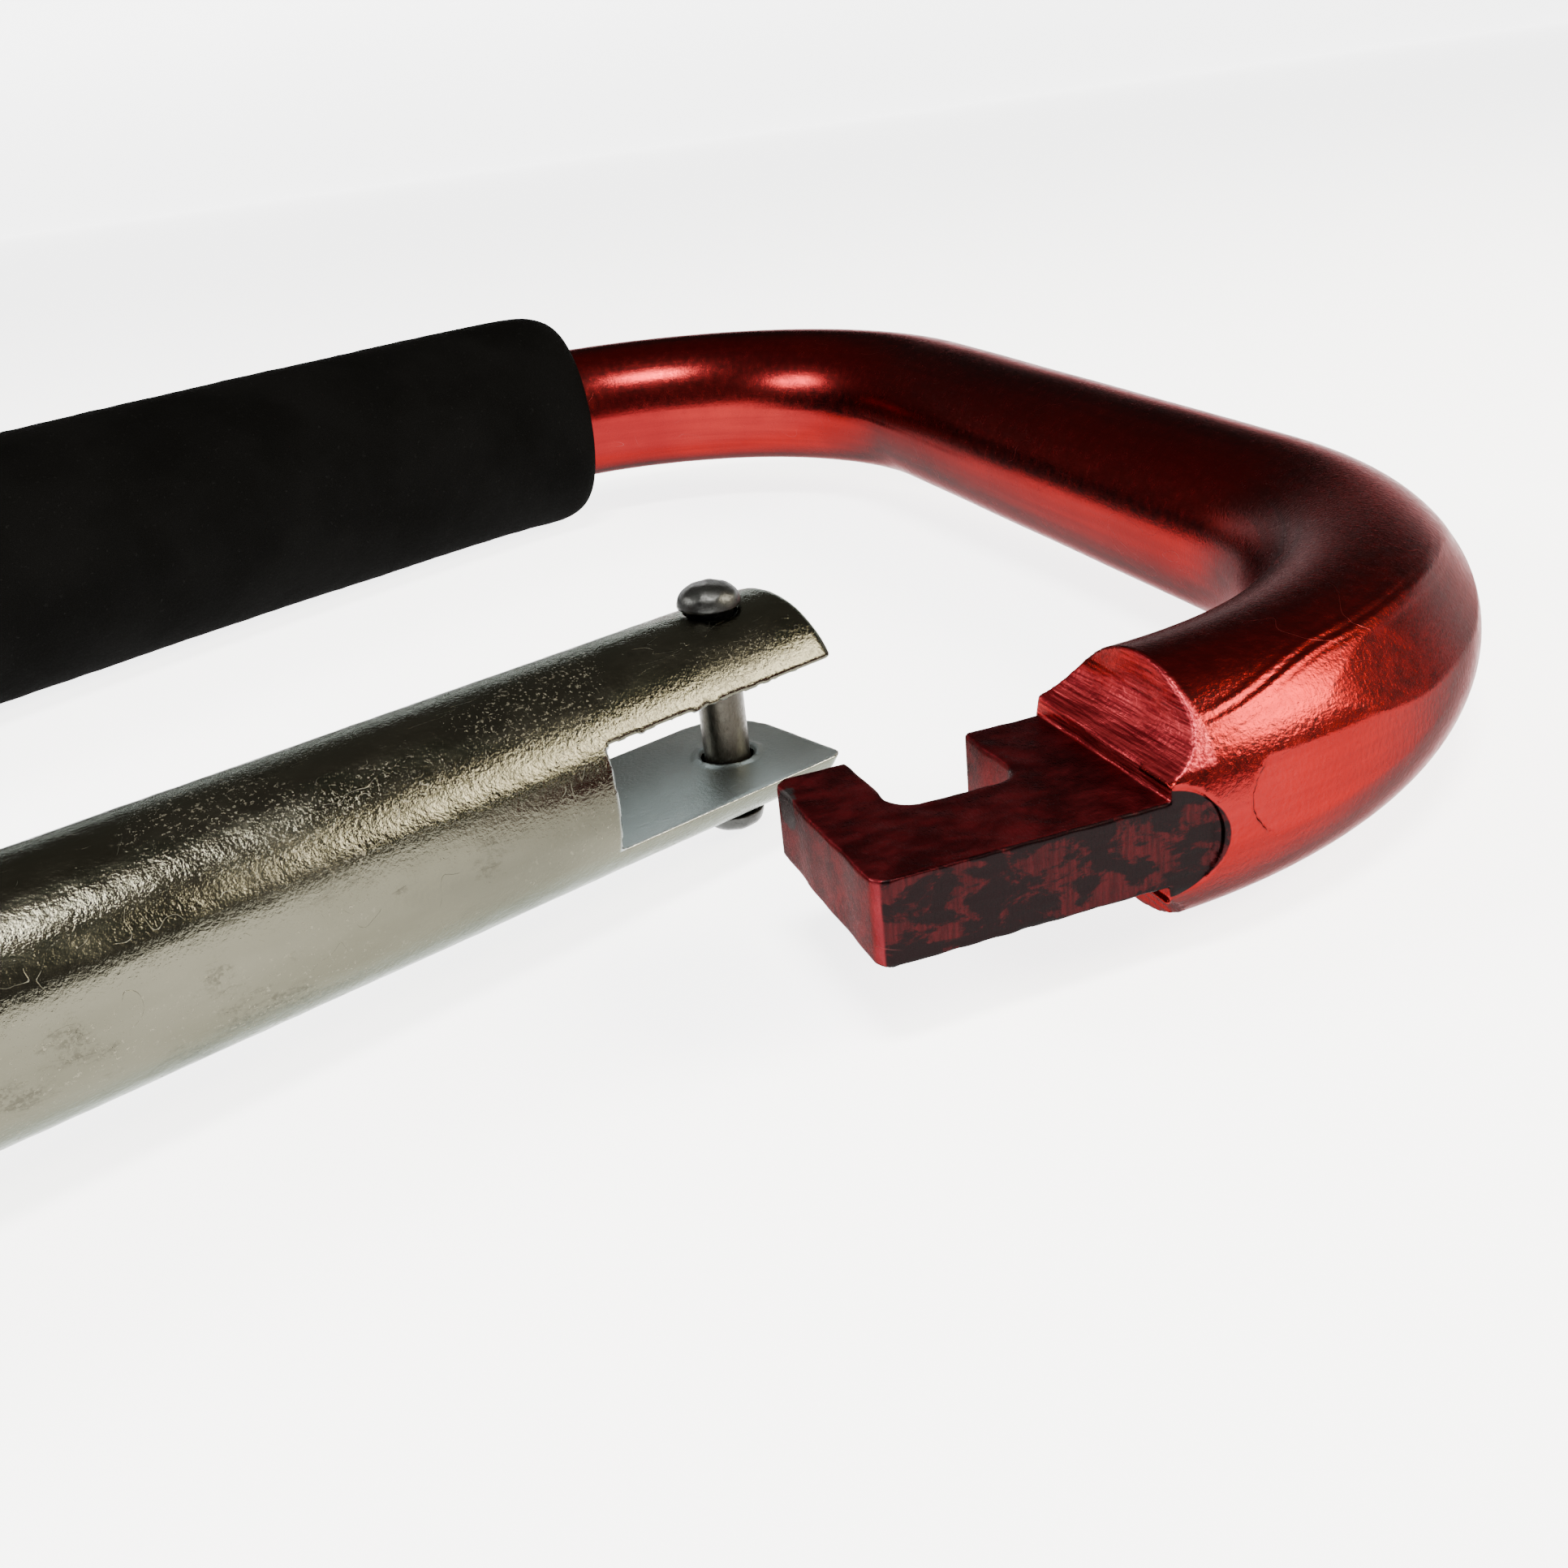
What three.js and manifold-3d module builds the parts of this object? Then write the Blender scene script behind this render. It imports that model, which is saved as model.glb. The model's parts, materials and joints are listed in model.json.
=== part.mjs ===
// A jumbo D-shaped carabiner: a bent aluminium rod with a foam grip on its spine, and a solid steel
// gate bar that turns on a rivet at one end and hooks a second rivet into the rod's notched nose.
//
// Everything is drawn in the carabiner's own plane, in millimetres. The hinge rivet is the origin, +X runs
// along the closed gate to the nose, +Y points across the opening to the spine, and +Z is the rivets' axis.
// The outer group then lays the whole carabiner on a flat surface, the way it rests on a table.
import * as THREE from 'three';
import { mergeVertices } from 'three/addons/utils/BufferGeometryUtils.js';
import Module from 'manifold-3d';

const wasm = await Module();
wasm.setup();

// ---------------------------------------------------------------- driving dimensions (mm, degrees)
const ROD_D = 12;                 // the body's round aluminium rod
const GATE_D = 10.9;              // the steel gate bar
const GATE_REACH = 80;            // hinge rivet to latch rivet
const GATE_AJAR = 12.6;           // how far the gate stands open at rest
const GATE_SWING = 38;            // from closed to fully open

const NOSE_SPLAY = 6.8;           // the nose leans outward from the closed gate's line
const NOSE_RUN = 6.9;             // notch centre to the first bend
const NOSE_BEND = { radius: 27.6, turn: 90.1 };
const END_RUN = 45.5;             // the straight across the wide end
const FAR_BEND = { radius: 25.8, turn: 100.7 };
const EASE_BEND = { radius: 45, turn: 11.9 };
const SPINE_BEND = { radius: 542, turn: 5.5 };
const HEEL_FAR_R = 27;            // the narrow end's bend into the spine
const HEEL_NEAR_R = 25;           // the narrow end's bend into the hinge
const HEEL_HEADING = 270;         // the narrow end's straight runs square to the closed gate
const HEEL_BACK = 32;             // its distance behind the hinge rivet

const PLATE_T = 3.9;              // the nose, milled to a flat hooked plate
const PLATE_DROP = 0.3;           // middle of the plate below the middle of the rod
const PLATE_HALF_W = 5.5;
const PLATE_TIP = 6.4;            // notch centre to the tip
const TIP_CHAMFER = 0.5;          // plate corner towards the spine
const TIP_CORNER_R = 0.8;         // plate corner away from the spine
const SHOULDER = 6.7;             // notch centre to the step where the plate meets the rod
const SHOULDER_STEP = 0.8;        // height of the square step below the scallop
const SCALLOP_R = 2.5;            // milled hollow from the step up to the rod's surface
const SCALLOP_LEAD = 0.7;         // the hollow's lowest line, ahead of the step
const NOTCH = { width: 5.8, floor: 0.05, corner: 1.3 };
const SIDE_FLAT = { inset: 0.55, halfHeight: 2.7, end: 6.3 };
const OVERCUT = 2;                // cutting solids and joined solids run this far past a face

const SLOT_H = 5.2;               // both gate slots
const LATCH_SLOT = 10;            // slot root to latch rivet
const GATE_TIP = 4;               // latch rivet to the gate's end
const TIP_ROUND_IN = 4.6;         // plan corner towards the spine
const TIP_ROUND_OUT = 0.7;        // plan corner away from the spine
const BORE_D = 5;                 // blind bore for the spring
const BORE_END = 38;

const TONGUE_T = 4.6;             // hinge tongue, milled from the rod's other end
const TONGUE_HALF_W = 5.2;
const TONGUE_CHAMFER = 2.4;       // across the corner beside the cam's face
const TONGUE_SHOULDER = 6.3;      // behind the rivet, clear of the gate's round end
const CAM_REACH = 3.4;            // rivet to the cam's face with the gate closed
const CAM_RISE = 2;               // plunger travel per radian of gate swing
const CAM_CLEARANCE = 0.7;        // the fully opened gate's slot root to the cam

const LATCH_RIVET = { shank: 1.2, head: 1.65, height: 1.2 };
const HINGE_RIVET = { shank: 1.5, head: 2.3, height: 1.3 };
const HEAD_EDGE = 0.25;           // share of a rivet head's height that is its upright edge
const RUNNING_GAP = 0.15;         // round shanks in round holes
const FACE_GAP = 0.3;             // faces that meet
const CAM_GAP = 0.1;              // the plunger's face to the cam
const NOTCH_GAP = 0.3;            // the latch rivet's shank to the notch's floor

const FOAM = { radius: 9.75, bore: 6.35, lead: 9.3, length: 103 };
const PLUNGER = { radius: 2.25, length: 7, spigot: 1.1, spigotLength: 4 };
const SPRING = { radius: 1.8, wire: 0.3, turns: 11 };

// The lean that brings the foam, the hinge rivet and the nose bend down onto one flat surface.
const REST_ROLL = 2.16;           // about the closed gate's line
const REST_PITCH = 0.77;          // across it

const ROD_SIDES = 28;
const ROD_STEP = 4.2;             // length of rod between sections
const ARC_PARTS = 6;              // straight parts that each drawn arc is divided into
const ROUND_SIDES = 24;           // sides of small pins, holes and turned parts
const BAR_SIDES = 40;
const COIL_SIDES = 6;
const COIL_STEPS = 14;            // sections in each turn of the spring

const rad = THREE.MathUtils.degToRad;
const ROD_R = ROD_D / 2;
const GATE_R = GATE_D / 2;

// ---------------------------------------------------------------- materials
function finish(color, roughness, metalness) {
  return new THREE.MeshStandardMaterial({ color, roughness, metalness });
}
const RED_ANODISED = finish(0x9b1420, 0.28, 0.9);
const PLATED_STEEL = finish(0xa9a793, 0.3, 1);
const RIVET_STEEL = finish(0x7c7d7d, 0.45, 1);
const SPRING_STEEL = finish(0x8a8c8e, 0.35, 1);
const BLACK_FOAM = finish(0x151617, 0.95, 0);

// ---------------------------------------------------------------- solids
/** A geometry's closed surface as a manifold solid. */
function solid(geometry) {
  const bare = geometry.clone();
  bare.deleteAttribute('normal');
  bare.deleteAttribute('uv');
  const merged = mergeVertices(bare, 1e-4);
  const vertProperties = new Float32Array(merged.attributes.position.array);
  const triVerts = new Uint32Array(merged.index.array);
  return new wasm.Manifold(new wasm.Mesh({ numProp: 3, vertProperties, triVerts }));
}

/** A manifold solid as a named three.js mesh. */
function named(name, manifold, material) {
  const { vertProperties, triVerts } = manifold.getMesh();
  const geometry = new THREE.BufferGeometry();
  geometry.setAttribute('position', new THREE.BufferAttribute(new Float32Array(vertProperties), 3));
  geometry.setIndex(new THREE.BufferAttribute(new Uint32Array(triVerts), 1));
  geometry.computeVertexNormals();
  const mesh = new THREE.Mesh(geometry, material);
  mesh.name = name;
  return mesh;
}

/** A plan outline given thickness, from z = low to z = high. */
function plate(shape, low, high) {
  const settings = { depth: high - low, bevelEnabled: false, curveSegments: ARC_PARTS };
  return solid(new THREE.ExtrudeGeometry(shape, settings).translate(0, 0, low));
}

/** A plan rectangle given thickness. */
function slab(x0, x1, y0, y1, low, high) {
  const size = new THREE.BoxGeometry(x1 - x0, y1 - y0, high - low);
  return solid(size.translate((x0 + x1) / 2, (y0 + y1) / 2, (low + high) / 2));
}

/** An outline drawn in x and z, swept across from y = near to y = far. */
function crosswise(shape, near, far) {
  const settings = { depth: far - near, bevelEnabled: false, curveSegments: ARC_PARTS };
  const geometry = new THREE.ExtrudeGeometry(shape, settings);
  return solid(geometry.rotateX(Math.PI / 2).translate(0, far, 0));
}

/** A round bar or hole along x. */
function roundAlongX(radius, x0, x1, sides) {
  const geometry = new THREE.CylinderGeometry(radius, radius, x1 - x0, sides);
  return solid(geometry.rotateZ(-Math.PI / 2).translate((x0 + x1) / 2, 0, 0));
}

/** A round hole along z. */
function roundAlongZ(radius, x, halfLength) {
  const geometry = new THREE.CylinderGeometry(radius, radius, 2 * halfLength, ROUND_SIDES);
  return solid(geometry.rotateX(Math.PI / 2).translate(x, 0, 0));
}

// ---------------------------------------------------------------- the rod's centreline
/** A flat centreline of straight runs and left-hand bends, followed by arc length. */
class RodLine extends THREE.Curve {
  constructor(start, headingDeg, runs, from = 0, to = null) {
    super();
    this.runs = [];
    let [x, y] = start;
    let heading = rad(headingDeg);
    let at = 0;
    for (const run of runs) {
      const length = run.length ?? run.radius * rad(run.turn);
      this.runs.push({ x, y, heading, at, length, radius: run.radius ?? Infinity });
      const end = RodLine.along(this.runs.at(-1), length);
      [x, y, heading] = [end.x, end.y, end.heading];
      at += length;
    }
    this.end = { x, y, heading };
    this.from = from;
    this.to = to ?? at;
  }

  static along(run, s) {
    if (run.radius === Infinity) {
      const [dx, dy] = [s * Math.cos(run.heading), s * Math.sin(run.heading)];
      return { x: run.x + dx, y: run.y + dy, heading: run.heading };
    }
    const heading = run.heading + s / run.radius;
    return {
      x: run.x + run.radius * (Math.sin(heading) - Math.sin(run.heading)),
      y: run.y - run.radius * (Math.cos(heading) - Math.cos(run.heading)),
      heading,
    };
  }

  getPoint(t, target = new THREE.Vector3()) {
    const s = this.from + t * (this.to - this.from);
    const run = this.runs.findLast((r) => r.at <= s) ?? this.runs[0];
    const point = RodLine.along(run, s - run.at);
    return target.set(point.x, point.y, 0);
  }
}

/** A round section, or a ring where there is a bore, swept along a centreline. */
function sweep(line, radius, bore = 0) {
  const section = new THREE.Shape().absarc(0, 0, radius, 0, 2 * Math.PI, false);
  if (bore) section.holes.push(new THREE.Path().absarc(0, 0, bore, 0, 2 * Math.PI, true));
  const steps = Math.ceil((line.to - line.from) / ROD_STEP);
  const settings = { steps, curveSegments: ROD_SIDES / 2, extrudePath: line };
  return solid(new THREE.ExtrudeGeometry(section, settings));
}

// The latch rivet's closed place fixes the notch, which sits just outside it.
const splay = rad(NOSE_SPLAY);
const RIVET_IN_NOTCH = { x: -0.45, y: NOTCH.floor + LATCH_RIVET.shank + NOTCH_GAP };
const NOTCH_AT = {
  x: GATE_REACH - RIVET_IN_NOTCH.x * Math.cos(splay) - RIVET_IN_NOTCH.y * Math.sin(splay),
  y: RIVET_IN_NOTCH.x * Math.sin(splay) - RIVET_IN_NOTCH.y * Math.cos(splay),
};

/** A solid drawn about the notch centre and the plate's middle, put in its place on the carabiner. */
function atNose(manifold) {
  return manifold.rotate([0, 0, -NOSE_SPLAY]).translate([NOTCH_AT.x, NOTCH_AT.y, -PLATE_DROP]);
}

const LINE_START = [NOTCH_AT.x + SHOULDER * Math.cos(splay), NOTCH_AT.y - SHOULDER * Math.sin(splay)];

/** The runs from the shoulder of the nose, round the wide end and the spine, to the hinge tongue. */
function bodyRuns() {
  const neck = { length: NOSE_RUN - SHOULDER };
  const runs = [neck, NOSE_BEND, { length: END_RUN }, FAR_BEND, EASE_BEND, SPINE_BEND];
  const bow = new RodLine(LINE_START, -NOSE_SPLAY, runs).end;
  const heelAcross = HEEL_FAR_R * (Math.sin(rad(HEEL_HEADING)) - Math.sin(bow.heading));
  runs.push({ length: (-HEEL_BACK - heelAcross - bow.x) / Math.cos(bow.heading) });
  runs.push({ radius: HEEL_FAR_R, turn: HEEL_HEADING - THREE.MathUtils.radToDeg(bow.heading) });
  const heel = new RodLine(LINE_START, -NOSE_SPLAY, runs).end;
  runs.push({ length: heel.y - HEEL_NEAR_R });
  runs.push({ radius: HEEL_NEAR_R, turn: 360 - HEEL_HEADING });
  runs.push({ length: HEEL_BACK - HEEL_NEAR_R - TONGUE_SHOULDER });
  return runs;
}

const LINE_RUNS = bodyRuns();
const BODY_LINE = new RodLine(LINE_START, -NOSE_SPLAY, LINE_RUNS);

// ---------------------------------------------------------------- the body
/** The nose plate's plan: square shouldered, with the notch open towards the spine. */
function nosePlan() {
  const { width, floor, corner } = NOTCH;
  const w = PLATE_HALF_W;
  const plan = new THREE.Shape();
  plan.moveTo(SHOULDER + OVERCUT, -w);
  plan.lineTo(SHOULDER + OVERCUT, w);
  plan.lineTo(width / 2, w);
  plan.lineTo(width / 2, floor + corner);
  plan.absarc(width / 2 - corner, floor + corner, corner, 0, -Math.PI / 2, true);
  plan.lineTo(-width / 2 + corner, floor);
  plan.absarc(-width / 2 + corner, floor + corner, corner, -Math.PI / 2, -Math.PI, true);
  plan.lineTo(-width / 2, w);
  plan.lineTo(-PLATE_TIP + TIP_CHAMFER, w);
  plan.lineTo(-PLATE_TIP, w - TIP_CHAMFER);
  plan.lineTo(-PLATE_TIP, -w + TIP_CORNER_R);
  plan.absarc(-PLATE_TIP + TIP_CORNER_R, -w + TIP_CORNER_R, TIP_CORNER_R, Math.PI, 1.5 * Math.PI, false);
  return plan;
}

/** The milled hollow above the step, on the top side; the underside has the same. */
function scallop(side) {
  const low = PLATE_T / 2 + SHOULDER_STEP;
  const middle = SHOULDER - SCALLOP_LEAD;
  const profile = new THREE.Shape();
  profile.moveTo(middle - OVERCUT, low);
  profile.lineTo(middle, low);
  profile.absarc(middle, low + SCALLOP_R, SCALLOP_R, -Math.PI / 2, 0, false);
  profile.lineTo(middle + SCALLOP_R, ROD_D);
  profile.lineTo(middle - OVERCUT, ROD_D);
  const cut = crosswise(profile, -ROD_D, ROD_D);
  return side > 0 ? cut : cut.rotate([180, 0, 0]);
}

/** The shallow flat milled along the outside of the nose, with a round end. */
function sideFlat() {
  const { inset, halfHeight, end } = SIDE_FLAT;
  const profile = new THREE.Shape();
  profile.moveTo(-PLATE_TIP - OVERCUT, -halfHeight);
  profile.lineTo(end, -halfHeight);
  profile.absarc(end, 0, halfHeight, -Math.PI / 2, Math.PI / 2, false);
  profile.lineTo(-PLATE_TIP - OVERCUT, halfHeight);
  return crosswise(profile, -ROD_D, -ROD_R + inset);
}

/**
 * The hinge tongue's plan. Its end is a cam: a straight face while the gate is closed, then an involute
 * that pushes the plunger back by CAM_RISE for each radian that the gate opens.
 */
function tonguePlan() {
  const w = TONGUE_HALF_W;
  const plan = new THREE.Shape();
  plan.moveTo(-TONGUE_SHOULDER - OVERCUT, -w);
  plan.lineTo(CAM_REACH - TONGUE_CHAMFER, -w);
  plan.lineTo(CAM_REACH, -w + TONGUE_CHAMFER);
  const swing = rad(GATE_SWING);
  for (let i = 0; i <= ARC_PARTS; i += 1) {
    const a = (swing * i) / ARC_PARTS;
    const reach = CAM_REACH + CAM_RISE * a;
    plan.lineTo(reach * Math.cos(a) - CAM_RISE * Math.sin(a), reach * Math.sin(a) + CAM_RISE * Math.cos(a));
  }
  plan.lineTo(0, w);
  plan.lineTo(-TONGUE_SHOULDER - OVERCUT, w);
  return plan;
}

function bodyFrame() {
  const nose = plate(nosePlan(), -PLATE_T / 2, PLATE_T / 2);
  const cuts = [scallop(1), scallop(-1), sideFlat()].map(atNose);
  const tongue = plate(tonguePlan(), -TONGUE_T / 2, TONGUE_T / 2);
  let body = sweep(BODY_LINE, ROD_R).add(atNose(nose)).add(tongue);
  for (const cut of cuts) body = body.subtract(cut);
  return body.subtract(roundAlongZ(HINGE_RIVET.shank + RUNNING_GAP, 0, ROD_D));
}

/** The foam sleeve, from just before the spine's long bend. */
function foamGrip() {
  const spine = BODY_LINE.runs.find((run) => run.radius === SPINE_BEND.radius);
  const from = spine.at - FOAM.lead;
  const to = from + FOAM.length;
  return sweep(new RodLine(LINE_START, -NOSE_SPLAY, LINE_RUNS, from, to), FOAM.radius, FOAM.bore);
}

// ---------------------------------------------------------------- the gate
/** The gate bar's plan: a round end about the hinge rivet, and the tip's two rounded corners. */
function gatePlan() {
  const end = GATE_REACH + GATE_TIP;
  const plan = new THREE.Shape();
  plan.absarc(0, 0, GATE_R, Math.PI / 2, 1.5 * Math.PI, false);
  plan.lineTo(end - TIP_ROUND_OUT, -GATE_R);
  plan.absarc(end - TIP_ROUND_OUT, -GATE_R + TIP_ROUND_OUT, TIP_ROUND_OUT, -Math.PI / 2, 0, false);
  plan.lineTo(end, GATE_R - TIP_ROUND_IN);
  plan.absarc(end - TIP_ROUND_IN, GATE_R - TIP_ROUND_IN, TIP_ROUND_IN, 0, Math.PI / 2, false);
  return plan;
}

const HINGE_SLOT_ROOT = CAM_REACH + CAM_RISE * rad(GATE_SWING) + CAM_CLEARANCE;

function gateBar() {
  const end = GATE_REACH + GATE_TIP;
  const bar = roundAlongX(GATE_R, -GATE_R - OVERCUT, end + OVERCUT, BAR_SIDES);
  const latchSlot = slab(GATE_REACH - LATCH_SLOT, end + OVERCUT, -GATE_D, GATE_D, -SLOT_H / 2, SLOT_H / 2);
  const hingeSlot = slab(-GATE_D, HINGE_SLOT_ROOT, -GATE_D, GATE_D, -SLOT_H / 2, SLOT_H / 2);
  return bar
    .intersect(plate(gatePlan(), -GATE_D, GATE_D))
    .subtract(latchSlot)
    .subtract(hingeSlot)
    .subtract(roundAlongX(BORE_D / 2, HINGE_SLOT_ROOT - OVERCUT, BORE_END, ROUND_SIDES))
    .subtract(roundAlongZ(LATCH_RIVET.shank + RUNNING_GAP, GATE_REACH, GATE_D))
    .subtract(roundAlongZ(HINGE_RIVET.shank + RUNNING_GAP, 0, GATE_D));
}

/** A rivet with a low dome at each end of its shank, its heads on the gate bar's crown. */
function rivet({ shank, head, height }, x) {
  const seat = GATE_R + RUNNING_GAP;
  const edge = HEAD_EDGE * height;
  const half = [new THREE.Vector2(shank, seat), new THREE.Vector2(head, seat)];
  half.push(new THREE.Vector2(head, seat + edge));
  for (let i = 1; i <= ARC_PARTS; i += 1) {
    const a = (Math.PI / 2) * (i / ARC_PARTS);
    half.push(new THREE.Vector2(head * Math.cos(a), seat + edge + (height - edge) * Math.sin(a)));
  }
  half.at(-1).x = 0;
  const mirrored = [...half].reverse().map((point) => new THREE.Vector2(point.x, -point.y));
  const turned = new THREE.LatheGeometry([...mirrored, ...half], ROUND_SIDES);
  return solid(turned.rotateX(Math.PI / 2).translate(x, 0, 0));
}

// ---------------------------------------------------------------- the spring in the gate's bore
const PLUNGER_FACE = CAM_REACH + CAM_RISE * rad(GATE_AJAR) + CAM_GAP;
const PLUNGER_SEAT = PLUNGER_FACE + PLUNGER.length;

/** A stepped pin: its flat face rides the cam and its spigot holds the spring. */
function springPlunger() {
  const head = roundAlongX(PLUNGER.radius, PLUNGER_FACE, PLUNGER_SEAT, ROUND_SIDES);
  const spigotEnd = PLUNGER_SEAT + PLUNGER.spigotLength;
  return head.add(roundAlongX(PLUNGER.spigot, PLUNGER_SEAT - OVERCUT, spigotEnd, ROUND_SIDES));
}

/** The coil's centreline, in line with the gate. */
class CoilLine extends THREE.Curve {
  getPoint(t, target = new THREE.Vector3()) {
    const start = PLUNGER_SEAT + SPRING.wire + FACE_GAP;
    const end = BORE_END - SPRING.wire - FACE_GAP;
    const a = 2 * Math.PI * SPRING.turns * t;
    return target.set(start + (end - start) * t, SPRING.radius * Math.cos(a), SPRING.radius * Math.sin(a));
  }
}

function gateSpring() {
  const wire = new THREE.Shape().absarc(0, 0, SPRING.wire, 0, 2 * Math.PI, false);
  const steps = SPRING.turns * COIL_STEPS;
  const settings = { steps, curveSegments: COIL_SIDES / 2, extrudePath: new CoilLine() };
  return solid(new THREE.ExtrudeGeometry(wire, settings));
}

// ---------------------------------------------------------------- assembly
const gate = new THREE.Group();
gate.add(
  named('gate_bar', gateBar(), PLATED_STEEL),
  named('latch_rivet', rivet(LATCH_RIVET, GATE_REACH), RIVET_STEEL),
  named('hinge_rivet', rivet(HINGE_RIVET, 0), RIVET_STEEL),
  named('gate_spring', gateSpring(), SPRING_STEEL),
  named('spring_plunger', springPlunger(), RIVET_STEEL),
);
gate.rotation.z = rad(GATE_AJAR);

const carabiner = new THREE.Group();
carabiner.add(
  named('body_frame', bodyFrame(), RED_ANODISED),
  named('foam_grip', foamGrip(), BLACK_FOAM),
  gate,
);
carabiner.rotation.set(rad(REST_ROLL), rad(REST_PITCH), 0);

// The origin is on the surface, under the middle of the carabiner.
carabiner.updateMatrixWorld(true);
const box = new THREE.Box3().setFromObject(carabiner, true);
const middle = box.getCenter(new THREE.Vector3());
carabiner.position.set(-middle.x, -middle.y, -box.min.z);

const part = new THREE.Group();
part.add(carabiner);
export default part;
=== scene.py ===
"""A jumbo D carabiner: red anodised rod, foam grip, and a plated steel gate that hooks into the nose.

Shapes are worked out in millimetres in three local frames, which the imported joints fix: the carabiner's own
(origin at the hinge rivet, +X to the nose, +Y to the spine), the nose's and the gate's.
"""
import json
import math

import bmesh
import bpy
import numpy as np
import openvdb
from mathutils import Matrix, Vector


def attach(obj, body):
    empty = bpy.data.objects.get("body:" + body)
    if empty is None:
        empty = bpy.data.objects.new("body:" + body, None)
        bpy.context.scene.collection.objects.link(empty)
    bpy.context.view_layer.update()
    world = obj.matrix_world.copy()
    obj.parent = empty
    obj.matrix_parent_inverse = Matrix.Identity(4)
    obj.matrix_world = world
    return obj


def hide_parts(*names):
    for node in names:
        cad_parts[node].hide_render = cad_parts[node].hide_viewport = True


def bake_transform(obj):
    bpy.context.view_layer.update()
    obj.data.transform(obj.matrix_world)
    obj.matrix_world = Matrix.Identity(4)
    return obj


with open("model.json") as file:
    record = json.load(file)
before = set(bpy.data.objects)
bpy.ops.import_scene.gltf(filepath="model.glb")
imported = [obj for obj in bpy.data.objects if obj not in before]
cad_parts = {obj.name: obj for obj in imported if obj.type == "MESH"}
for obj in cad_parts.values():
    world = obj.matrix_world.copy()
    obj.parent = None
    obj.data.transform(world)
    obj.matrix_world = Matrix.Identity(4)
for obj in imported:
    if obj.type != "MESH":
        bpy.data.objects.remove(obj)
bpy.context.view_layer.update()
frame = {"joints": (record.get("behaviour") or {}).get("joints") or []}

MM = 0.001

# ---------------------------------------------------------------- driving dimensions (mm, degrees)
ROD_R = 6.0

# the rod's centreline, from the notch round to the hinge; a bend is its radius and its turn
NOSE_SPLAY = 6.8                  # the nose leans this far away from the spine
NOSE_RUN = 6.9
NOSE_BEND = (27.6, 90.1)
END_RUN = 45.5
FAR_BEND = (25.8, 100.7)
EASE_BEND = (45.0, 11.9)
SPINE_BEND = (542.0, 5.5)
HEEL_FAR_R, HEEL_NEAR_R = 27.0, 25.0
HEEL_HEADING = 270.0
HEEL_BACK = 32.0                  # from the hinge rivet back to the narrow end

# the nose: a milled plate with a notch, and a shoulder behind it with scallops and a flat outer side
PLATE_T, PLATE_DROP = 3.9, 0.3    # thickness, and how far its middle is below the rod's
PLATE_HALF_W = 5.5
PLATE_TIP = 6.4
TIP_BEVEL, TIP_CORNER = 0.5, 0.8
SHOULDER, STEP = 6.7, 0.8
SCALLOP_R, SCALLOP_LEAD = 2.5, 0.7
TOOL_DEPTH, TOOL_PITCH = 0.028, 0.36
NOTCH_WIDTH, NOTCH_FLOOR, NOTCH_CORNER = 5.8, 0.05, 1.3
RIVET_IN_NOTCH = (-0.45, 1.55)
FLAT_INSET, FLAT_HALF, FLAT_END = 0.55, 2.7, 6.3

# marks on the nose bend: lengths along the rod where they start, are full, begin to fade and end
DIE_FLAT, DIE_FLAT_SIDE, DIE_FLAT_DEPTH = (13.5, 20, 27, 37), 35, 0.36
DIE_LINES, DIE_LINE_WIDTH = (7.5, 10, 26, 33), 1.5
DIE_LINE_HEIGHTS = ((0, 0.06), (5, 0.045), (-4, 0.03))    # degrees from the middle line, height
FACET_SIDE, FACET_START, FACET_DEPTH, FACET_SLOPE = 7, 9.7, 0.30, 0.022
MARKS_END = 46                    # the rod's rings are closer together up to here

# the gate: a round bar that is slotted at both ends and bored at its hinge end
GATE_R, GATE_REACH, GATE_TIP = 5.45, 80.0, 4.0            # radius, rivet to rivet, rivet to tip
GATE_CORNER, GATE_SWEEP = 0.7, 4.6                        # the tip's outer and inner corners
SLOT_HALF, LATCH_SLOT, HINGE_SLOT_ROOT = 2.6, 10.0, 5.43
BORE_R, BORE_END = 2.5, 38.0

# the hinge: the body's tongue, whose cam pushes the plunger as the gate opens
TONGUE_HALF_T, TONGUE_HALF_W, TONGUE_SHOULDER = 2.3, 5.2, 6.3
CAM_REACH, CAM_RISE, CAM_BEVEL, GATE_SWING = 3.4, 2.0, 2.4, 38.0
PLUNGER_GAP, PLUNGER_R, PLUNGER_LENGTH = 0.1, 2.24, 7
STEM_R, STEM_LENGTH = 1.08, 4
COIL_TURNS, COIL_R, WIRE_R, COIL_GAP = 11, 1.8, 0.29, 0.6

LATCH_RIVET = {"shank": 1.2, "head": 1.65, "height": 1.2}
HINGE_RIVET = {"shank": 1.5, "head": 2.3, "height": 1.3}
RUNNING_GAP = 0.15

FOAM_R, FOAM_BORE, FOAM_LEAD, FOAM_LENGTH = 9.75, 6.2, 12.9, 106.6
FOAM_END = (5.2, 3.3)             # length and depth of the rounding at each end

SCALLOP_END = SHOULDER - SCALLOP_LEAD + SCALLOP_R
NOSE_CUT = 17.0                   # where the modelled nose meets the swept rod, from the notch
TONGUE_CUT = 12.0                 # where the modelled tongue does, from the hinge rivet
RING_GAP = 0.3                    # from each cut to the swept rod's first or last ring


# ---------------------------------------------------------------- frames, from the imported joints
joints = {joint["name"]: joint for joint in frame["joints"]}
hinge, slide = joints["gate_hinge"], joints["plunger_slide"]
AJAR = -math.radians(hinge["range_deg"][0])      # how far open the gate is at rest


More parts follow.
